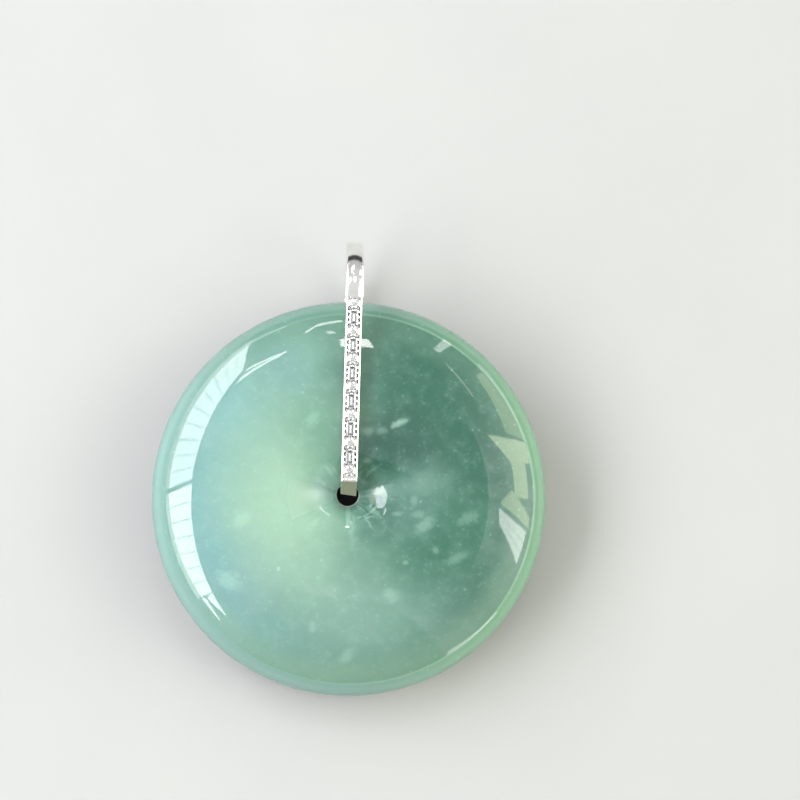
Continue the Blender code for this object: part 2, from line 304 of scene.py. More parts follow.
jade, tree, shader, own = new_finish("polished_jade")
drift = noise(tree, own, 0.20, 3.0, output="Color")
moved = add_node(
    tree,
    "ShaderNodeVectorMath",
    inputs={0: drift, 1: (DRIFT, DRIFT, DRIFT), 2: own},
    operation="MULTIPLY_ADD",
)
half_drift = (DRIFT / 2, DRIFT / 2, DRIFT / 2)
loose = add_node(
    tree, "ShaderNodeVectorMath", inputs={0: moved, 1: half_drift}, operation="SUBTRACT"
)
loose_x, loose_y, _ = apart(tree, loose)
flat = together(tree, loose_x, loose_y, 0.0)
colour = DEEP_TEAL
for centre, radius, tone in CLOUDS_AND_PAINTED_LIGHT:
    from_cloud = add_node(
        tree, "ShaderNodeVectorMath", "Value", {0: flat, 1: (*centre, 0.0)}, operation="DISTANCE"
    )
    colour = mix(tree, from_cloud.between(radius, CLOUD_CORE * radius), colour, tone)
print("clouds:", len(CLOUDS_AND_PAINTED_LIGHT))

# %% [markdown]
# Thin pale wisps run all through the stone. What comes after them is placed by its distance
# from the bore or from the middle of the outline. These are two points: the drill went in a
# little to the left of the middle and above it.

# %% Wisps and the two distances
OUTLINE_OFFSET = (0.19, -0.25)  # millimetres from the bore to the outline's middle
WISP_TONE = (0.40, 0.62, 0.52)
WISP_SHARE = 0.09


def distance(x, y):
    return (x * x + y * y) ** 0.5


own_x, own_y, own_z = apart(tree, own)
from_bore = distance(own_x, own_y)
from_middle = distance(own_x - OUTLINE_OFFSET[0], own_y - OUTLINE_OFFSET[1])
wisps = noise(tree, own, 0.9, 5.0, 0.62)
colour = mix(tree, wisps.between(0.40, 0.80) * WISP_SHARE, colour, WISP_TONE)
print(f"the bore is {math.hypot(*OUTLINE_OFFSET):.2f} mm off the outline's middle")

# %% [markdown]
# Towards the rim the stone gets thin, so light comes through and the edge glows. That glow
# is painted into the colour, darker at the top than at the bottom as the light falls. The rim
# band outside it is painted light as well, in two crisp rings of tone that differ from left to
# right and are darkened at the top as painted shade. A thin painted highlight runs along the
# first ring on the right, and the outermost ring is darkened as painted shade, where the side
# turns away.

# %% The painted glow of the edge and the rings of the rim
EDGE_REACH = (11.2, 13.6)  # all distances here are millimetres from the outline's middle
EDGE_GLOW_TOP = (0.09, 0.19, 0.14)
EDGE_GLOW_BOTTOM = (0.19, 0.31, 0.235)
EDGE_SHARE = 0.6
RIM_GLOW_RINGS = ((13.87, 0.8), (14.32, 1.0))  # where a step starts, and how far its tone goes
RING_SOFTNESS = 0.08
RIM_LEFT = (0.18, 0.305, 0.275)
RIM_RIGHT = (0.185, 0.345, 0.225)
RIM_TOP_SHADE = (0.10, 0.20, 0.14)
RIM_TOP_SHADE_SHARE = 0.5
LINE_INSIDE, LINE_OUTSIDE = (13.80, 13.90), (14.05, 13.96)
RIM_HIGHLIGHT_TONE = (0.40, 0.60, 0.46)
RIM_HIGHLIGHT_SHARE = 0.18
SIDE_REACH = (14.55, 14.85)
SIDE_SHADE_TONE = (0.10, 0.20, 0.17)
SIDE_SHADE_SHARE = 0.3

# Painted light: the edge's glow, weaker at the top.
edge_glow_tone = mix(tree, own_y.between(10.0, -10.0), EDGE_GLOW_TOP, EDGE_GLOW_BOTTOM)
colour = mix(tree, from_middle.between(*EDGE_REACH) * EDGE_SHARE, colour, edge_glow_tone)
# Painted light in the rim's two rings, with painted shade at the top.
side_tone = mix(tree, own_x.between(0.0, 12.0), RIM_LEFT, RIM_RIGHT)
rim_glow_tone = mix(tree, own_y.between(4.0, 13.0) * RIM_TOP_SHADE_SHARE, side_tone, RIM_TOP_SHADE)
for start, share in RIM_GLOW_RINGS:
    past_ring = from_middle.between(start - RING_SOFTNESS, start + RING_SOFTNESS)
    colour = mix(tree, past_ring * share, colour, rim_glow_tone)
# A painted highlight along the first ring, on the right.
rim_highlight = from_middle.between(*LINE_INSIDE) * from_middle.between(*LINE_OUTSIDE)
colour = mix(tree, rim_highlight * own_x.between(-8.0, 8.0) * RIM_HIGHLIGHT_SHARE, colour, RIM_HIGHLIGHT_TONE)
# Painted shade on the outermost ring.
colour = mix(tree, from_middle.between(*SIDE_REACH) * SIDE_SHADE_SHARE, colour, SIDE_SHADE_TONE)
print("steps of the rim:", len(RIM_GLOW_RINGS))

# %% [markdown]
# This jade holds cottony flecks, and far more specks as small as pinpricks. The larger flecks
# are set one by one: a Mapping node turns and shrinks each of them to a circle of radius 1,
# and noise frays its border. The specks come from a Voronoi texture, which strews one point
# in each cell of a grid. A speck lies round such a point. Three grids give three sizes, and
# the same noise leaves many specks out.

# %% Flecks and specks
FLECKS = [  # cottony places: centre, half length, half width, direction, strength
    ((3.65, 5.5), 0.90, 0.31, 27.0, 0.34),
    ((2.3, 4.9), 0.6, 0.40, 10.0, 0.12),
    ((1.3, 4.8), 0.6, 0.45, 20.0, 0.15),
    ((5.75, -2.1), 1.25, 0.55, 38.0, 0.17),
    ((5.3, -1.3), 0.7, 0.35, 5.0, 0.12),
    ((4.95, -0.3), 0.6, 0.35, 90.0, 0.13),
    ((3.7, -1.3), 0.45, 0.22, 0.0, 0.13),
    ((6.6, -3.9), 0.35, 0.35, 0.0, 0.15),
    ((4.4, -4.9), 0.30, 0.22, 0.0, 0.18),
    ((8.2, -4.5), 1.3, 0.45, 25.0, 0.13),
    ((3.4, -7.4), 0.9, 0.60, -15.0, 0.13),
    ((-2.4, -9.9), 0.6, 0.40, 80.0, 0.13),
    ((0.3, -12.0), 0.9, 0.50, 40.0, 0.13),
    ((-8.7, -6.6), 1.2, 0.90, -10.0, 0.17),
    ((-7.9, -2.1), 0.9, 0.60, 40.0, 0.12),
    ((-5.05, -5.6), 0.18, 0.22, 0.0, 0.25),
    ((1.3, 2.6), 0.4, 0.30, 0.0, 0.15),
    ((9.0, -1.5), 1.2, 0.60, 20.0, 0.13),
    ((-2.8, 5.6), 0.9, 0.50, 60.0, 0.13),
    ((5.9, 1.2), 2.1, 1.10, 8.0, 0.08),
]
FLECK_TONE = (0.50, 0.74, 0.62)
FRAYING = 2.2
SPECKS = [  # how many in a millimetre, size in their own spacing, strength
    (0.85, 0.13, 0.14),
    (1.50, 0.26, 0.06),
    (3.00, 0.36, 0.06),
]
SPECK_CORE = 0.3  # share of a speck's size that has its full strength
SPECK_TONE = (0.56, 0.78, 0.68)

fine = noise(tree, own, 1.8, 5.0, 0.68)
for centre, length, width, turn, strength in FLECKS:
    aimed = add_node(
        tree,
        "ShaderNodeMapping",
        inputs={
            "Vector": own,
            "Location": (*centre, 0.0),
            "Rotation": (0.0, 0.0, math.radians(turn)),
            "Scale": (length, width, 1.0),
        },
        vector_type="TEXTURE",
    )
    aimed_x, aimed_y, _ = apart(tree, aimed)
    ragged = distance(aimed_x, aimed_y) + (fine - 0.5) * FRAYING
    colour = mix(tree, ragged.between(1.15, 0.20) * strength, colour, FLECK_TONE)
for per_mm, reach, strength in SPECKS:
    from_point = add_node(
        tree, "ShaderNodeTexVoronoi", "Distance", {"Vector": own, "Scale": per_mm}
    )
    speckled = from_point.between(reach, SPECK_CORE * reach) * fine.between(0.42, 0.62)
    colour = mix(tree, speckled * strength, colour, SPECK_TONE)
print("flecks:", len(FLECKS), "and sizes of specks:", len(SPECKS))

# %% [markdown]
# Grinding the funnel leaves faint rays towards the bore. Their pale tone is partly the grind
# marks and partly painted streaks of reflected light. Noise that changes with the direction
# and hardly with the distance is drawn out into rays.

# %% Rays in the funnel
FUNNEL_REACH = (4.6, 2.0)  # millimetres from the bore's axis
RAY_CHANGE = 0.12  # how far the noise changes along a ray, for each millimetre
RAY_AND_GLINT_TONE = (0.46, 0.70, 0.60)
RAY_AND_GLINT_SHARE = 0.20

direction = together(tree, own_x / from_bore, own_y / from_bore, from_bore * RAY_CHANGE)
rays = noise(tree, direction, 3.4, 3.0, 0.6)
on_funnel = from_bore.between(*FUNNEL_REACH)
# Pale rays: grind marks, and painted streaks of reflected light.
colour = mix(tree, rays.between(0.50, 0.66) * on_funnel * RAY_AND_GLINT_SHARE, colour, RAY_AND_GLINT_TONE)
print("rays start", FUNNEL_REACH[0], "mm from the bore's axis")

# %% [markdown]
# The drill leaves the bore and its very edge matt. Their pale tone is partly that matt
# surface and partly a painted highlight along the lip, and the bore's middle, where the light
# hardly reaches, is darkened as painted shade.
# Everywhere else the stone is polished, a little more here and less there. Left of the bore
# one fan of grinding strokes has kept a softer gloss: two straight lines from the bore and a
# circle bound it. Last, two bumps, too low for a mesh, make mirrored lights waver: the slow
# ripple of hand polishing, and the rays.

# %% The bore and the polish
BORE_MATT_AND_HIGHLIGHT = (0.42, 0.56, 0.47)
BORE_SHADE = (0.03, 0.05, 0.045)
BORE_DULLNESS = 0.4
FAN_TOP_SLOPE, FAN_FOOT_SLOPE = 0.153, 0.496
FAN_DULLNESS = 0.28
WAVER_DEPTH = 0.05 * MM

drilled = from_bore.between(0.93, 0.86)
painted_bore_shade = drilled * own_z.math("ABSOLUTE").between(1.35, 1.15)
# Pale drilled surface: matt stone, and a painted highlight along the lip.
colour = mix(tree, drilled, colour, BORE_MATT_AND_HIGHLIGHT)
# Painted shade deep inside the bore.
colour = mix(tree, painted_bore_shade, colour, BORE_SHADE)
put(tree, shader.inputs["Base Color"], colour)
gloss = noise(tree, own, 0.35, 2.0) * 0.03 + 0.03
below_its_top = (own_y + own_x * FAN_TOP_SLOPE).between(0.42, 0.33)
above_its_foot = (own_y - own_x * FAN_FOOT_SLOPE).between(0.02, 0.12)
fan = below_its_top * above_its_foot * from_bore.between(4.65, 4.50) * own_x.between(-0.8, -1.2)
put(tree, shader.inputs["Roughness"], gloss + drilled * BORE_DULLNESS + fan * FAN_DULLNESS)
shader.inputs["IOR"].default_value = 1.66
shader.inputs["Subsurface Weight"].default_value = 0.75
shader.inputs["Subsurface Radius"].default_value = (0.5, 1.0, 0.8)
shader.inputs["Subsurface Scale"].default_value = 2.5 * MM
ripple = noise(tree, own, 0.5, 1.0)
ripple_bump = add_node(
    tree, "ShaderNodeBump", "Normal", {"Strength": 0.05, "Distance": WAVER_DEPTH, "Height": ripple}
)
ray_bump = add_node(
    tree,
    "ShaderNodeBump",
    "Normal",
    {
        "Strength": on_funnel * 0.03,
        "Distance": WAVER_DEPTH,
        "Height": rays * from_bore,
        "Normal": ripple_bump,
    },
)
put(tree, shader.inputs["Normal"], ray_bump)
print("polished jade:", len(tree.nodes), "nodes")

# %% [markdown]
# ## The jade disc
#
# A cutter first saws a round blank, then grinds both faces to a soft dome, and at last opens a
# funnel towards the bore from either side. So the shape has one rule: a section carried round
# the bore. From the highest circle outward, the section follows a quarter of a superellipse to
# the rim, and inward it stays flat for a while and then dips to the bore's crisp edge. The
# funnel is wider across than along, because it is ground from two sides, so its contours are
# pinched ovals. A Spin of a drawn profile can't do that; a node tree keeps the whole rule, and
# each size stays a number that can be changed.

# %% A grid to carry round the bore
DISC_SIZES = {
    "Diameter": "Float",
    "Thickness": "Float",
    "Bore diameter": "Float",
    "Crest share": "Float",
    "Face fullness": "Float",
    "Funnel depth": "Float",
    "Funnel power": "Float",
    "Funnel stretch": "Float",
    "Funnel pinch": "Float",
    "Outline offset": "Vector",
    "Steps around": "Int",
    "Steps per quarter": "Int",
    "Stone": "Material",
}
disc_tree, disc = new_shape_tree("spun_disc", DISC_SIZES)
steps = disc["Steps per quarter"]
row_count = steps * 4 + 1
grid = add_node(
    disc_tree,
    "GeometryNodeMeshGrid",
    "Mesh",
    {
        "Size X": 1.0,
        "Size Y": 1.0,
        "Vertices X": disc["Steps around"] + 1,
        "Vertices Y": row_count + 1,
    },
)
grid_x, grid_y, _ = apart(disc_tree, add_node(disc_tree, "GeometryNodeInputPosition"))
around = (grid_x + 0.5) * (2 * math.pi)
row = ((grid_y + 0.5) * row_count).math("ROUND")
print("sizes that the disc takes:", ", ".join(DISC_SIZES))

# %% [markdown]
# A row's number says where on the section it lies. The first quarter of the rows runs from the
# front crest out to the rim, the second from the rim in to the rear crest, the third down the
# rear funnel, and after one step through the bore the last quarter climbs the front funnel.
# Sine and cosine of the quarter turn draw the curve, and the powers give it its fullness.

# %% The section's radius and height
past_bore = row.over(steps * 3 + 0.5)  # the step from one face's funnel to the other's
quarter = (row - past_bore) / steps
quarter_turn = quarter * (math.pi / 2)
funnel_side = quarter.over(2.0)
front = (quarter.over(1.0) * -1.0 + 1.0).math("MAXIMUM", past_bore)
off_crest = quarter_turn.math("SINE").math("ABSOLUTE")  # 0 at the crest, 1 at rim and bore
upright = quarter_turn.math("COSINE").math("ABSOLUTE")

disc_radius = disc["Diameter"] * 0.5
bore_radius = disc["Bore diameter"] * 0.5
crest_radius = disc_radius * disc["Crest share"]
crest_height = disc["Thickness"] * 0.5
power = (disc["Face fullness"] ** -1.0) * 2.0
dome_radius = crest_radius + (disc_radius - crest_radius) * off_crest**power
dome_height = crest_height * upright**power
funnel_radius = crest_radius + (bore_radius - crest_radius) * off_crest
funnel_height = crest_height - disc["Funnel depth"] * off_crest ** disc["Funnel power"]
section_radius = dome_radius + (funnel_radius - dome_radius) * funnel_side
face_height = dome_height + (funnel_height - dome_height) * funnel_side
section_height = face_height * (front * 2.0 - 1.0)
print("disc tree so far:", len(disc_tree.nodes), "nodes")

# %% [markdown]
# Two waves round the bore draw the funnel's circles out into pinched ovals. Last, the outline
# is shifted off the bore, more and more from the bore to the rim, and the seam is welded.

# %% The ovals, the shift and the weld
WELD_DISTANCE = 1e-7
drawn_out = (around * 2.0).math("COSINE") * disc["Funnel stretch"]
pinched = drawn_out + (around * 4.0).math("COSINE") * disc["Funnel pinch"]
# 1 at two thirds of the way into the funnel, and 0 at both of its ends
oval = off_crest * off_crest * (off_crest * -1.0 + 1.0) * 6.75 * funnel_side
ring_radius = section_radius * (oval * pinched + 1.0)
ring_x = ring_radius * around.math("COSINE")
ring_y = ring_radius * around.math("SINE")
shift = (section_radius - bore_radius) / (disc_radius - bore_radius)
offset_x, offset_y, _ = apart(disc_tree, disc["Outline offset"])
disc_point = together(
    disc_tree, ring_x + offset_x * shift, ring_y + offset_y * shift, section_height
)
spun = add_node(
    disc_tree, "GeometryNodeSetPosition", inputs={"Geometry": grid, "Position": disc_point}
)
welded = add_node(
    disc_tree,
    "GeometryNodeMergeByDistance",
    inputs={"Geometry": spun, "Distance": WELD_DISTANCE},
)
smooth_disc = add_node(disc_tree, "GeometryNodeSetShadeSmooth", inputs={"Geometry": welded})
end_shape_tree(disc_tree, smooth_disc, disc["Stone"])
print("disc tree:", len(disc_tree.nodes), "nodes")

# %% Spin the disc
disc_data = run_shape_tree(
    "jade_ring",
    disc_tree,
    {
        "Diameter": 30.0 * MM,
        "Thickness": 7.0 * MM,
        "Bore diameter": 1.68 * MM,
        "Crest share": 0.473,
        "Face fullness": 2.2,
        "Funnel depth": 2.05 * MM,
        "Funnel power": 6.0,
        "Funnel stretch": 0.28,
        "Funnel pinch": 0.10,
        "Outline offset": (OUTLINE_OFFSET[0] * MM, OUTLINE_OFFSET[1] * MM, 0.0),
        "Steps around": 256,
        "Steps per quarter": 40,
        "Stone": jade,
    },
)
lay_down("jade_ring", disc_data, "jade", "jade_disc")

# %% [markdown]
# ## White gold
#
# Polished white gold mirrors its surroundings and has a faint warm tint. Handling leaves hair
# scratches along the strip, which the eye sees as slightly uneven gloss. They are noise that
# is squeezed across the strip and so drawn out along it. In the notches the metal is left
# dull, and its colour is made very dark as painted shade in these narrow pits. Both finishes
# come from one function.


# %% The two finishes of the metal
TARNISH = 0.93  # brightness of the duller places
HAIR_SCALE = (14.0, 0.9, 14.0)


def white_gold_finish(name, bright, roughness, unevenness):
    finish, tree, shader, own = new_finish(name)
    cloudy = noise(tree, own, 1.3, 3.0)
    dull = tuple(TARNISH * part for part in bright)
    tint = mix(tree, cloudy.between(0.3, 0.7), bright, dull)
    put(tree, shader.inputs["Base Color"], tint)
    shader.inputs["Metallic"].default_value = 1.0
    rubbed = noise(tree, own, 6.0, 4.0)
    put(tree, shader.inputs["Roughness"], rubbed * unevenness + roughness)
    stretched = add_node(
        tree, "ShaderNodeMapping", inputs={"Vector": own, "Scale": HAIR_SCALE}
    )
    hairs = noise(tree, stretched, 3.0, 3.0)
    bump = add_node(
        tree, "ShaderNodeBump", "Normal", {"Strength": 0.06, "Distance": 0.02 * MM, "Height": hairs}
    )
    put(tree, shader.inputs["Normal"], bump)
    return finish


white_gold = white_gold_finish("white_gold", (0.90, 0.89, 0.86), 0.06, 0.10)
# The notches' metal is dull, and its dark colour is painted shade.
notch_shade_gold = white_gold_finish("notch_shade_gold", (0.10, 0.095, 0.09), 0.30, 0.20)
print("finishes of the metal:", white_gold.name, "and", notch_shade_gold.name)

# %% [markdown]
# ## The loop
#
# A goldsmith bends the loop from one strip that changes its section on the way: thin in the
# bore, thick and wide under the stones, bevelled on the bend, thin again at the back. It is
# built as the strip is bent: a section is a small ring of points, and a skin joins each ring
# to the next all the way round. A curve with a bevel object can't change its section like
# this, which is why it is done in mesh code.

# %% Sizes of the strip
BAR_THICKNESS = 0.75 * MM
BEND_THICKNESS = 0.70 * MM
BAR_WIDTH = 1.22 * MM
BEND_WIDTH = 1.34 * MM
BEND_TOP_WIDTH = 1.14 * MM
BACK_WIDTH = 1.00 * MM
LEG_HALF_WIDTH = 0.5856 * MM
BAR_END = 14.71 * MM
WIDTH_STEP = 0.04 * MM  # length over which the section changes at either end of the bar
BREAK = 0.04 * MM  # the small bevel that every edge has
BAR_BEVEL = (0.15 * MM, 0.085 * MM)
BEND_BEVEL = (0.16 * MM, 0.17 * MM)
BEND_DOME = 0.14 * MM  # how far the bend's outer face falls from its middle to its sides
DOME_POINTS = 7
EDGE_ROUNDING = 0.35  # share of an edge's shorter side that its small round takes
LONGEST_SIDE = 0.10 * MM  # a longer side counts as this long
BAR_FACE = STRIP_HEIGHT + BAR_THICKNESS
print(f"the bar's face lies {BAR_FACE / MM:.2f} mm above the disc's middle")


# %% One section of the strip
def section(half_width, thickness, bevel_width=BREAK, bevel_depth=BREAK, dome=0.0):
    """The strip's section as (across, outward) points, each corner softened by three points."""
    half_inner = half_width - BREAK
    half_outer = half_width - bevel_width
    right_side = [
        (half_inner, 0.0),
        (half_width, BREAK),
        (half_width, thickness - bevel_depth),
        (half_outer, thickness - dome * (half_outer / half_width) ** 2),
    ]
    left_side = [(-across, outward) for across, outward in reversed(right_side)]
    edges = right_side + left_side
    softened = []
    for i, edge in enumerate(edges):
        here = Vector(edge)
        before = Vector(edges[i - 1]) - here
        after = Vector(edges[(i + 1) % len(edges)]) - here
        cut = EDGE_ROUNDING * min(before.length, after.length, LONGEST_SIDE)
        start = here + before.normalized() * cut
        end = here + after.normalized() * cut
        middle = (start + end) * 0.25 + here * 0.5
        softened += [start, middle, end]
        if i == len(right_side) - 1:
            for step in range(DOME_POINTS):
                across = half_outer * (1 - 2 * (step + 1) / (DOME_POINTS + 1))
                softened.append((across, thickness - dome * (across / half_width) ** 2))
    return softened


def station(work, inner, outward, *sizes):
    """A ring of points: the section set at (y, z) on the strip's inner face."""
    ring = []
    for across, depth in section(*sizes):
        y = inner[0] + outward[0] * depth
        z = inner[1] + outward[1] * depth
        ring.append(work.verts.new((across, y, z)))
    return ring


print("points of one section:", len(section(BAR_WIDTH / 2, BAR_THICKNESS)))

# %% [markdown]
# ### The small bend at the bore
#
# At the bore the strip turns by a right angle, in front and at the back. In front the maker
# has filed a flat across this bend, which makes the small tab below the bar. The file was
# held a little askew, so the tab's lower edge slants. Each ring there gets its thickness from
# the nearer of two planes, the leg's own face and the flat.

# %% Rings round the small bends
CORNER_RADIUS = 0.50 * MM
CORNER_STEPS = 14
TAB_BREAK = 0.015 * MM  # the small bend keeps crisp edges
TAB_SLOPE = math.radians(37)
TAB_SKEW = 0.13  # sideways slant of the flat's lower edge


def blend(start, end, share):
    return start + (end - start) * share


def corner_rings(work, side, strip_half_width):
    """The small bend at the bore, on the front (1) or at the back (-1)."""
    centre = (SHEET + CORNER_RADIUS, side * (STRIP_HEIGHT - CORNER_RADIUS))
    edge_turn = math.atan(1 - math.tan(TAB_SLOPE))  # where the flat meets the leg's face
    reach = SHEET + CORNER_RADIUS
    rings = []
    for i in range(CORNER_STEPS + 2):
        turn = blend(edge_turn, math.pi / 2, (i - 1) / CORNER_STEPS) if i else 0.0
        share = turn / (math.pi / 2)
        outward = (-math.cos(turn), side * math.sin(turn))
        inner = (centre[0] + CORNER_RADIUS * outward[0], centre[1] + CORNER_RADIUS * outward[1])
        half_width = blend(LEG_HALF_WIDTH, strip_half_width, share)
        thickness = SHEET
        if side > 0:
            to_flat = reach * math.cos(TAB_SLOPE) / math.sin(turn + TAB_SLOPE)
            thickness = min(reach / math.cos(turn), to_flat) - CORNER_RADIUS
        ring = station(work, inner, outward, half_width, thickness, TAB_BREAK, TAB_BREAK)
        if side > 0:
            for corner in ring:
                depth = (inner[0] - corner.co.y) / SHEET
                corner.co.y -= TAB_SKEW * corner.co.x * depth * (1 - share)
        rings.append(ring)
    return rings


print(f"the flat slopes by {math.degrees(TAB_SLOPE):.0f} degrees")

# %% [markdown]
# ### The wide bend and the skin
#
# The wide bend is a half circle over the rim. On its way from the front to the back the strip
# gets narrower, thinner and plainer, so every size is blended along the turn.

# %% Rings round the wide bend
BEND_STEPS = 72


def bend_size(front, top, back, share):
    if share < 0.5:
        return blend(front, top, (2 * share) ** 2)
    return blend(top, back, 2 * share - 1)


def bend_rings(work):
    """The wide bend over the rim, from the front to the back."""
    rings = []
    for i in range(BEND_STEPS + 1):
        share = i / BEND_STEPS
        outward = (math.sin(math.pi * share), math.cos(math.pi * share))
        inner = (BEND_CENTRE + STRIP_HEIGHT * outward[0], STRIP_HEIGHT * outward[1])
        sizes = (
            bend_size(BEND_WIDTH, BEND_TOP_WIDTH, BACK_WIDTH, share) / 2,
            bend_size(BAR_THICKNESS, BEND_THICKNESS, SHEET, share),
            blend(BEND_BEVEL[0], BREAK, share),
            blend(BEND_BEVEL[1], BREAK, share),
            blend(BEND_DOME, 0.0, share),
        )
        rings.append(station(work, inner, outward, *sizes))
    return rings


print("rings round the wide bend:", BEND_STEPS + 1)


# %% Bend the loop
def skin(work, rings):
    """Faces between each ring and the next, and from the last to the first."""
    for ring, following in zip(rings, rings[1:] + rings[:1]):
        for i in range(len(ring)):
            j = (i + 1) % len(ring)
            work.faces.new((ring[i], ring[j], following[j], following[i]))


work = bmesh.new()
up_front = (0.0, 1.0)
rings = corner_rings(work, 1, LEG_HALF_WIDTH)
for y, width, bevel, dome in (
    (BAR_START + WIDTH_STEP, BAR_WIDTH, BAR_BEVEL, 0.0),
    (BAR_END, BAR_WIDTH, BAR_BEVEL, 0.0),
    (BAR_END + WIDTH_STEP, BEND_WIDTH, BEND_BEVEL, BEND_DOME),
):
    bar_place = (y, STRIP_HEIGHT)
    rings.append(station(work, bar_place, up_front, width / 2, BAR_THICKNESS, *bevel, dome))
rings += bend_rings(work)
rings += reversed(corner_rings(work, -1, BACK_WIDTH / 2))
skin(work, rings)
bmesh.ops.recalc_face_normals(work, faces=work.faces)
blank_data = bpy.data.meshes.new("loop_blank")
work.to_mesh(blank_data)
work.free()
print("loop:", len(rings), "sections of", len(rings[0]), "points")

# %% [markdown]
# ## The channel and its notches
#
# The setter saws one long channel into the bar's face and notches its walls with a round
# graver. What is left standing between two notches becomes a bead that holds a stone. The
# channel and its notches are one closed cutter, and a Boolean takes it out of the bar, as the
# saw does.

# %% The cutter's outline
ROUND_DIAMETER = 0.76 * MM
SEAT_GAP = 0.02 * MM
CHANNEL_HALF = ROUND_DIAMETER / 2 + SEAT_GAP
CHANNEL_DEPTH = 0.46 * MM
PITCH = 2.08 * MM  # from one round stone to the next
FIRST_STONE = 1.79 * MM
ROUND_COUNT = 7
STONE_SINK = 0.07 * MM  # from the bar's face down to a stone's girdle
NOTCH_RADIUS = 0.09 * MM
GRID_STEPS = 5  # places for notches in a repeat; the one beside a round stone stays whole
NOTCH_GRID = PITCH / GRID_STEPS
NOTCH_POINTS = 9

places = [FIRST_STONE + PITCH * i for i in range(ROUND_COUNT)]
lower = places[0] - ROUND_DIAMETER / 2 - SEAT_GAP
upper = places[-1] + ROUND_DIAMETER / 2 + SEAT_GAP
notches = [place + step * NOTCH_GRID for place in places for step in (-2, -1, 1, 2)]
notches = [y for y in notches if lower < y - NOTCH_RADIUS and y + NOTCH_RADIUS < upper]
outline = [(CHANNEL_HALF, lower)]
for middle in notches:
    for i in range(NOTCH_POINTS):
        angle = math.pi * (i / (NOTCH_POINTS - 1) - 0.5)
        across = CHANNEL_HALF + NOTCH_RADIUS * math.cos(angle)
        outline.append((across, middle + NOTCH_RADIUS * math.sin(angle)))
outline.append((CHANNEL_HALF, upper))
outline += [(-across, y) for across, y in reversed(outline)]
print(len(notches), "notches in each wall")

# %% Cut the channel out of the bar
floor_height = BAR_FACE - CHANNEL_DEPTH
work = bmesh.new()
bottom = work.faces.new([work.verts.new((*point, floor_height)) for point in outline])
raised = bmesh.ops.extrude_face_region(work, geom=[bottom])["geom"]
lifted = [item for item in raised if isinstance(item, bmesh.types.BMVert)]
bmesh.ops.translate(work, verts=lifted, vec=(0.0, 0.0, CHANNEL_DEPTH + BAR_THICKNESS))
bmesh.ops.recalc_face_normals(work, faces=work.faces)
cutter_data = bpy.data.meshes.new("channel_cutter")
work.to_mesh(cutter_data)
work.free()
cutter = bpy.data.objects.new("channel_cutter", cutter_data)
blank = bpy.data.objects.new("loop_blank", blank_data)
for helper in (cutter, blank):
    bpy.context.scene.collection.objects.link(helper)
saw = blank.modifiers.new("channel", "BOOLEAN")
saw.operation = "DIFFERENCE"
saw.solver = "EXACT"
saw.object = cutter
ready = blank.evaluated_get(bpy.context.evaluated_depsgraph_get())
loop_data = bpy.data.meshes.new_from_object(ready)
for helper in (cutter, blank):
    bpy.data.objects.remove(helper)
loop_data.name = "loop"
print("loop with its channel:", len(loop_data.polygons), "faces")

# %% [markdown]
# Every stone is parted from the next by a thin bridge of metal. The bridges are small boxes
# that stand in the channel's floor. The floor itself is parted along the walls' lines, so that
# the bottoms of the notches become faces of their own, which can get a finish of their own.

# %% Part the floor and set the bridges
BRIDGE = 0.04 * MM  # thickness of a bridge
BRIDGE_SINK = 0.02 * MM  # how deep it stands in the floor
BRIDGE_PLACE = 0.986  # from a round stone's middle, in steps of the notches
WALL_INSET = 0.97  # the floor is parted just inside the walls
NEARLY = 1e-7
LEVEL = 0.99  # a face whose normal has this much of Z in it is level
CUT_SNAP = 1e-8

bridges = [place + side * NOTCH_GRID * BRIDGE_PLACE for place in places for side in (-1, 1)][1:-1]
work = bmesh.new()
work.from_mesh(loop_data)
for side in (-1, 1):
    floor_faces = [
        face
        for face in work.faces
        if abs(face.calc_center_median().z - floor_height) < NEARLY and abs(face.normal.z) > LEVEL
    ]
    floor_edges = {edge for face in floor_faces for edge in face.edges}
    floor_corners = {corner for face in floor_faces for corner in face.verts}
    bmesh.ops.bisect_plane(
        work,
        geom=[*floor_faces, *floor_edges, *floor_corners],
        plane_co=(side * CHANNEL_HALF * WALL_INSET, 0.0, 0.0),
        plane_no=(1.0, 0.0, 0.0),
        dist=CUT_SNAP,
    )
bridge_height = CHANNEL_DEPTH - STONE_SINK + BRIDGE_SINK
for y in bridges:
    bmesh.ops.create_cube(
        work,
        matrix=Matrix.Translation((0.0, y, floor_height + bridge_height / 2 - BRIDGE_SINK))
        @ Matrix.Diagonal((2 * CHANNEL_HALF, BRIDGE, bridge_height, 1.0)),
    )
work.to_mesh(loop_data)
work.free()
print("bridges:", len(bridges))

# %% [markdown]
# A face of the loop gets one of the two finishes by where it lies: the notches get the dull
# metal whose dark colour is painted shade, and the rest is polished, also the channel's walls
# and floor, which throw light back up into the stones. Faces that meet at a low angle are
# shaded as one.

# %% Finish the loop
SHARP_ANGLE = math.radians(32)
PAST_WALL = 1.001 * CHANNEL_HALF
loop_data.materials.clear()
loop_data.materials.append(white_gold)
loop_data.materials.append(notch_shade_gold)
for face in loop_data.polygons:
    below_face = floor_height - NEARLY < face.center.z < BAR_FACE - NEARLY
    in_wall = PAST_WALL < abs(face.center.x) < CHANNEL_HALF + NOTCH_RADIUS
    # Faces in the notches get the metal darkened as painted shade.
    face.material_index = int(below_face and in_wall and lower < face.center.y < upper)
loop_data.shade_smooth()
loop_data.set_sharp_from_angle(angle=SHARP_ANGLE)
lay_down("loop", loop_data, "white_gold", "bail")

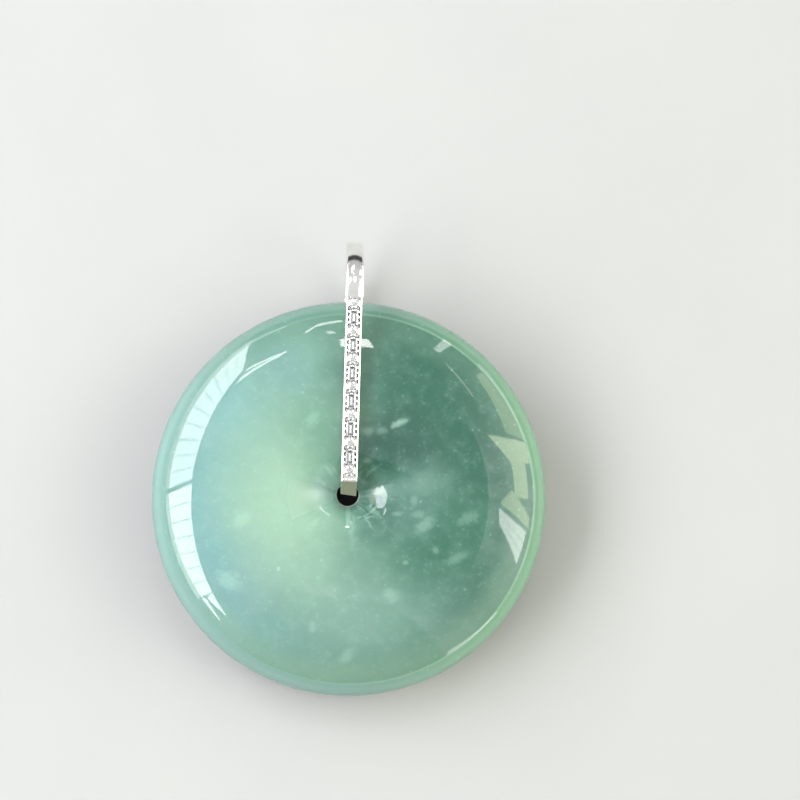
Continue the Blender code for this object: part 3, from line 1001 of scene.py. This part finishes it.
# %% [markdown]
# ## Beads
#
# With a burnisher the setter rounds each stump between two notches and pushes it over the
# stone's edge. Both walls carry the same row, and five more beads close the lower end of the
# bar. Such rows are work for Geometry Nodes: a line of points, one small bead on each. Along
# the walls the beads come in fours. The first, beside a round stone, is longer, because its
# notch was never cut. The three short ones after it stand between the notches, so they are
# half a step off the notches' grid.

# %% A tree for a row of beads
BEAD_SIZES = {
    "Count": "Int",
    "Grid": "Float",
    "First": "Vector",
    "Bead": "Vector",
    "Long share": "Float",
    "Unevenness": "Float",
    "Along X": "Bool",
    "Metal": "Material",
}
GROUP = 4  # beads in a repeat
BEAD_SEED = 7
bead_tree, bead = new_shape_tree("bead_row", BEAD_SIZES)
bead_line = add_node(
    bead_tree, "GeometryNodeMeshLine", inputs={"Count": bead["Count"], "Offset": (0.0, 0.0, 0.0)}
)
number = add_node(bead_tree, "GeometryNodeInputIndex")
group = (number / float(GROUP)).math("FLOOR")
within = number - group * float(GROUP)
short = within.over(0.5)
grouped = (group * float(GRID_STEPS) + within + short * 0.5) * bead["Grid"]
even = number * bead["Grid"]
travel = grouped + (even - grouped) * bead["Along X"]
travel_x = travel * bead["Along X"]
travel_y = travel - travel_x
first_x, first_y, first_z = apart(bead_tree, bead["First"])
bead_place = together(bead_tree, first_x + travel_x, first_y + travel_y, first_z)
points = add_node(
    bead_tree, "GeometryNodeSetPosition", inputs={"Geometry": bead_line, "Position": bead_place}
)
print("sizes that a row takes:", ", ".join(BEAD_SIZES))

# %% One bead on each point
ball = add_node(
    bead_tree, "GeometryNodeMeshUVSphere", "Mesh", {"Segments": 12, "Rings": 8, "Radius": 1.0}
)
bead_x, bead_y, bead_z = apart(bead_tree, bead["Bead"])
varied = add_node(
    bead_tree,
    "FunctionNodeRandomValue",
    1,
    {2: -1.0, 3: 1.0, "Seed": BEAD_SEED},
    data_type="FLOAT",
)
wobble = varied * bead["Unevenness"] + 1.0
is_long = (short * -1.0 + 1.0) * (bead["Along X"].math("SUBTRACT", 1.0) * -1.0)
stretch = is_long * (bead["Long share"] - 1.0) + 1.0
bead_size = together(bead_tree, bead_x * wobble, bead_y * stretch, bead_z * wobble)
beads = add_node(
    bead_tree,
    "GeometryNodeInstanceOnPoints",
    inputs={"Points": points, "Instance": ball, "Scale": bead_size},
)
smooth_beads = add_node(bead_tree, "GeometryNodeSetShadeSmooth", inputs={"Geometry": beads})
end_shape_tree(bead_tree, smooth_beads, bead["Metal"])
print("bead tree:", len(bead_tree.nodes), "nodes")

# %% Set the beads
WALL_BEAD = (0.100 * MM, 0.122 * MM, 0.090 * MM)  # half sizes of a short bead
END_BEAD = (WALL_BEAD[0], WALL_BEAD[0], WALL_BEAD[2])
BEAD_HEIGHT = BAR_FACE - 0.050 * MM
BEAD_LINE = CHANNEL_HALF + 0.01 * MM  # from the bar's middle to a wall's beads
WALL_BEADS = GROUP * (ROUND_COUNT - 1) + 1
END_BEADS = 5
END_SPACING = 0.24 * MM
END_START = (-END_SPACING * (END_BEADS - 1) / 2, BAR_START + 0.17 * MM)
BEAD_ROWS = {  # the first bead's place, how many, their spacing, half sizes, whether along X
    "beads_left": ((-BEAD_LINE, places[0]), WALL_BEADS, NOTCH_GRID, WALL_BEAD, False),
    "beads_right": ((BEAD_LINE, places[0]), WALL_BEADS, NOTCH_GRID, WALL_BEAD, False),
    "beads_end": (END_START, END_BEADS, END_SPACING, END_BEAD, True),
}
for name, (start, count, spacing, half_sizes, along_x) in BEAD_ROWS.items():
    row_data = run_shape_tree(
        name,
        bead_tree,
        {
            "Count": count,
            "Grid": spacing,
            "First": (*start, BEAD_HEIGHT),
            "Bead": half_sizes,
            "Long share": 2.5,
            "Unevenness": 0.12,
            "Along X": along_x,
            "Metal": white_gold,
        },
    )
    lay_down(name, row_data, "white_gold")

# %% [markdown]
# ## Clear stones
#
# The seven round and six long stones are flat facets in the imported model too, so those nodes
# stay, and only get their finish. Light bends strongly in such a stone, and little of it
# leaves through the facets behind, which makes the stone bright seen from the front. The
# shader's own transmission and index of refraction do this.

# %% Finish the stones
WATER_CLEAR = (0.99, 0.99, 1.0)
VEILED = (0.90, 0.91, 0.93)
clear_stone, tree, shader, own = new_finish("clear_stone")
veil = noise(tree, own, 3.0, 3.0).between(0.35, 0.75)
put(tree, shader.inputs["Base Color"], mix(tree, veil, WATER_CLEAR, VEILED))
grain = noise(tree, own, 9.0, 2.0)
put(tree, shader.inputs["Roughness"], grain * 0.02)
shader.inputs["Transmission Weight"].default_value = 1.0
shader.inputs["IOR"].default_value = 2.4
stones = [node for name, node in frame["nodes"].items() if "stone" in name]
for stone in stones:
    stone.data.materials.clear()
    stone.data.materials.append(clear_stone)
print("stones:", len(stones))

# %% [markdown]
# ## The table top
#
# A plain pale floor carries the pendant. It is a plane with a very slight mottle, so that it
# doesn't look like empty space.

# %% Floor
FLOOR_GREY = (0.37, 0.37, 0.37)
FLOOR_WARM = (0.41, 0.41, 0.40)
FLOOR_HALF = 1.5  # half of its side, in metres
floor_finish, tree, shader, own = new_finish("floor")
mottle = noise(tree, own, 0.05, 4.0)
put(tree, shader.inputs["Base Color"], mix(tree, mottle, FLOOR_GREY, FLOOR_WARM))
shader.inputs["Roughness"].default_value = 0.85
floor_data = bpy.data.meshes.new("floor")
floor_corners = [
    (FLOOR_HALF * x, FLOOR_HALF * y, 0.0) for x, y in ((-1, -1), (1, -1), (1, 1), (-1, 1))
]
floor_data.from_pydata(floor_corners, [], [(0, 1, 2, 3)])
floor_data.materials.append(floor_finish)
floor = bpy.data.objects.new("floor", floor_data)
bpy.context.scene.collection.objects.link(floor)
print("floor:", 2 * FLOOR_HALF, "m wide")

# %% [markdown]
# ## Light
#
# A polished stone shows its lights as much as its shape, so the lights are built as things
# that can be mirrored. Every panel is a flat sheet that glows, and each corner is named by its
# direction as seen from the bore: degrees round it from the right, and degrees above the
# disc's face.
#
# The main light is one wide softbox at the left, made like a window. A bar parts it into an
# upper half, a little cooler in colour, and a lower half, whose far end is split in two. Fine
# dark lines part both into narrow panes. A dim frame below them softens their lower edge.

# %% The softbox at the left
DAYLIGHT = (1.0, 1.0, 0.98)
COOL_DAY = (0.97, 0.98, 1.07)
SOFTBOX = [  # name, strength, tint, corner directions
    ("window_upper", 8.2, COOL_DAY, [(123.3, 13.6), (129.9, 43.2), (174.8, 52.5), (178.8, 22.6)]),
    ("window_lower", 9.5, DAYLIGHT, [(176.5, 53.0), (-179.6, 22.6), (-143.6, 28.3), (-142.6, 44.9)]),
    ("window_inner", 9.5, DAYLIGHT, [(-142.6, 44.9), (-142.1, 35.3), (-133.0, 40.3), (-133.3, 40.7)]),
    ("window_outer", 9.5, DAYLIGHT, [(-141.9, 33.9), (-143.6, 28.3), (-133.8, 28.2), (-133.9, 30.0)]),
    ("frame_upper", 3.4, DAYLIGHT, [(122.0, 6.0), (122.0, 13.6), (178.8, 22.6), (178.8, 15.0)]),
    ("frame_lower", 3.8, DAYLIGHT, [(-179.6, 15.0), (-179.6, 22.6), (-143.6, 28.3), (-143.6, 21.0)]),
]
FINE_LINES = {"window_upper": 9, "window_lower": 6, "curtain_fold_2": 2}
print("panels of the softbox:", len(SOFTBOX))

# %% [markdown]
# Narrow panels beyond the softbox's upper end and above the bend draw thin strokes and small
# patches on the upper half of the disc.

# %% Tubes and strokes at the top
STROKES = [
    ("tube_long", 9.0, DAYLIGHT, [(129.9, 46.1), (128.5, 45.2), (112.3, 50.1), (113.3, 51.4)]),
    ("tube_short", 8.5, DAYLIGHT, [(135.3, 49.6), (132.0, 47.8), (114.2, 50.9), (115.2, 52.2)]),
    ("sill", 3.5, DAYLIGHT, [(122.9, 13.9), (122.0, 11.0), (110.1, 12.7), (110.6, 15.5)]),
    ("top_stroke_1", 8.0, DAYLIGHT, [(105.3, 38.2), (104.5, 34.4), (100.6, 27.9), (101.0, 31.6)]),
    ("top_stroke_2", 7.5, DAYLIGHT, [(101.0, 31.6), (100.6, 26.8), (92.4, 24.5), (92.3, 28.2)]),
    ("top_spot", 7.0, DAYLIGHT, [(97.7, 39.7), (97.0, 43.7), (94.2, 43.5), (95.3, 40.7)]),
    ("top_patch", 12.0, DAYLIGHT, [(92.6, 50.2), (91.9, 56.9), (79.4, 56.4), (82.7, 49.2)]),
    ("right_patch", 5.2, DAYLIGHT, [(59.5, 7.3), (56.4, 9.7), (58.1, 36.7), (60.4, 35.9)]),
    ("right_streak", 3.2, DAYLIGHT, [(53.9, 43.9), (53.7, 42.5), (39.2, 47.6), (39.2, 49.4)]),
]
print("tubes and strokes:", len(STROKES))

# %% [markdown]
# At the right hangs a softer light: cloth in a few folds, greenish against the daylight, with
# one brighter fold and a low stripe in daylight's colour. Behind it a side wall of more folds,
# each with its own strength, fades out at both ends.

# %% Cloth at the right
CLOTH = (0.96, 1.0, 0.74)
CURTAIN = [
    ("curtain_upper", 3.2, CLOTH, [(44.2, 28.3), (44.0, 13.3), (19.4, 10.8), (23.2, 37.8)]),
    ("curtain_line", 2.5, DAYLIGHT, [(46.8, 7.2), (46.6, 0.1), (19.3, 8.1), (19.2, 15.4)]),
    ("curtain_band", 5.6, CLOTH, [(24.8, 56.0), (18.5, 11.5), (12.0, 12.3), (13.1, 42.9)]),
    ("curtain_strip", 5.2, CLOTH, [(13.1, 42.9), (12.1, 23.0), (1.1, 23.8), (1.7, 42.8)]),
    ("curtain_fold_1", 4.8, CLOTH, [(-0.6, 56.6), (4.0, 45.8), (-4.4, 19.9), (-8.1, 17.5)]),
    ("curtain_fold_2", 7.5, DAYLIGHT, [(-2.4, 57.2), (-9.1, 21.7), (-19.5, 22.7), (-7.8, 55.9)]),
    ("low_stripe", 3.6, DAYLIGHT, [(-54.2, 19.5), (-55.3, 11.7), (-35.0, 4.0), (-35.0, 10.0)]),
]
FOLD_ANGLE = 5.0
FOLDS_START = -34.0
FOLDS_FOOT, FOLDS_TOP = 4, 65
FOLDS = (0.9, 1.1, 1.4, 1.9, 1.6, 2.0, 1.7, 2.1, 1.7, 2.0, 1.8, 1.5, 1.3, 1.2, 1.1, 1.0)
side_wall = []
for i, strength in enumerate(FOLDS):
    left, right = (FOLD_ANGLE * (i + ahead) + FOLDS_START for ahead in (0, 1))
    fold = [(left, FOLDS_FOOT), (right, FOLDS_FOOT), (right, FOLDS_TOP), (left, FOLDS_TOP)]
    side_wall.append((f"side_wall_{i + 1}", strength, DAYLIGHT, fold))
print("panels of cloth:", len(CURTAIN), "and folds behind them:", len(side_wall))

# %% [markdown]
# Metal looks like metal only when it also mirrors something dark. A dim greenish card stands
# at the lower side of the disc and reaches high, for the small tab at the bore to mirror. A
# nearly black one, low beyond the bend, draws the dark band across it.

# %% Dark cards
TAB_GREEN = (0.86, 1.0, 0.68)
CARDS = [
    ("dark_card", 0.34, TAB_GREEN, [(-125, 0), (-55, 0), (-65, 84), (-115, 84)]),
    ("back_card", 0.06, DAYLIGHT, [(55, -3), (125, -3), (125, 8), (55, 8)]),
]
PANELS = [*SOFTBOX, *STROKES, *CURTAIN, *CARDS, *side_wall]
print("dark cards:", len(CARDS))

# %% [markdown]
# Now the sheets are hung. The camera doesn't see them, and they cast no shadow, so that the
# far ones shine past the near ones. What stays is their light and their mirror image.

# %% Hang the panels
PANEL_DISTANCE = 0.5
WALL_DISTANCE = 1.2
FAR_PANELS = ("side_wall", "dark_card", "back_card")
LINE_WIDTH = 0.05  # of a fine line, as a share of one pane


def toward(round_degrees, above_degrees, metres):
    """The world point in that direction from the bore's middle, that many metres away."""
    azimuth, height = math.radians(round_degrees), math.radians(above_degrees)
    level = math.cos(height)
    own_point = Vector((level * math.cos(azimuth), level * math.sin(azimuth), math.sin(height)))
    return lying @ (own_point * metres)


def glow(name, strength, tint):
    made = bpy.data.materials.new(name)
    made.use_nodes = True
    made.node_tree.nodes.clear()
    values = {"Color": (*tint, 1.0), "Strength": strength}
    lamp = add_node(made.node_tree, "ShaderNodeEmission", inputs=values)
    out = made.node_tree.nodes.new("ShaderNodeOutputMaterial")
    put(made.node_tree, out.inputs["Surface"], lamp)
    return made


for name, strength, tint, directions in PANELS:
    metres = WALL_DISTANCE if name.startswith(FAR_PANELS) else PANEL_DISTANCE
    a, b, c, d = (toward(*direction, metres) for direction in directions)
    panes = FINE_LINES.get(name, 0) + 1
    sheet_points, sheet_faces = [], []
    for i in range(panes):
        start = (i + LINE_WIDTH * (i > 0)) / panes
        end = (i + 1) / panes
        first = len(sheet_points)
        sheet_points += [a.lerp(d, start), b.lerp(c, start), b.lerp(c, end), a.lerp(d, end)]
        sheet_faces.append(tuple(range(first, first + 4)))
    sheet = bpy.data.meshes.new(name)
    sheet.from_pydata(sheet_points, [], sheet_faces)
    sheet.materials.append(glow(name, strength, tint))
    panel = bpy.data.objects.new(name, sheet)
    panel.visible_camera = False
    panel.visible_shadow = False
    bpy.context.scene.collection.objects.link(panel)
print(len(PANELS), "panels")

# %% [markdown]
# The room itself is a soft even light, brighter overhead, like a white ceiling.

# %% Room light
ROOM_LOW = (0.42, 0.43, 0.44)
ROOM_HIGH = (0.90, 0.91, 0.91)
ROOM_STRENGTH = 0.90
world = bpy.data.worlds.new("room")
world.use_nodes = True
bpy.context.scene.world = world
tree = world.node_tree
background = tree.nodes["Background"]
sky = add_node(tree, "ShaderNodeTexCoord", "Generated")
_, _, sky_height = apart(tree, sky)
room_light = mix(tree, sky_height.between(-0.2, 1.0), ROOM_LOW, ROOM_HIGH)
put(tree, background.inputs["Color"], room_light)
background.inputs["Strength"].default_value = ROOM_STRENGTH
bpy.context.scene.view_settings.view_transform = "Standard"
print("room light:", ROOM_STRENGTH)

# %% [markdown]
# ## Camera
#
# The photograph looks down the bore, with the pendant a little below and left of the middle.
# The camera stands just left of the bore's axis, which shows in how the bar hides the bore. It
# is rolled until the bar leans as it should, and turned rather than shifted until the bore
# falls on its place in the frame.

# %% Camera
CAMERA_PLACE = Vector((-4.7 * MM, 0.0, 160 * MM))  # in the pendant's own frame
FRAME_SIDE = 800
FOCAL_PIXELS = 2096
BORE_PIXEL = (347.0, 495.0)
ROLL = math.radians(1.6)
SENSOR_WIDTH = 36.0
camera_data = bpy.data.cameras.new("camera")
camera_data.sensor_width = SENSOR_WIDTH
camera_data.lens = SENSOR_WIDTH * FOCAL_PIXELS / FRAME_SIDE
camera_data.clip_start = 5 * MM
camera = bpy.data.objects.new("camera", camera_data)
bpy.context.scene.collection.objects.link(camera)
centre_pixel = FRAME_SIDE / 2
to_bore = Vector((BORE_PIXEL[0] - centre_pixel, centre_pixel - BORE_PIXEL[1], -FOCAL_PIXELS))
roll = Matrix.Rotation(ROLL, 4, "Z")
aim = (roll @ to_bore).rotation_difference(-CAMERA_PLACE).to_matrix().to_4x4()
camera.matrix_world = lying @ Matrix.Translation(CAMERA_PLACE) @ aim @ roll
bpy.context.scene.camera = camera
print("camera at", [round(value, 4) for value in camera.matrix_world.translation])
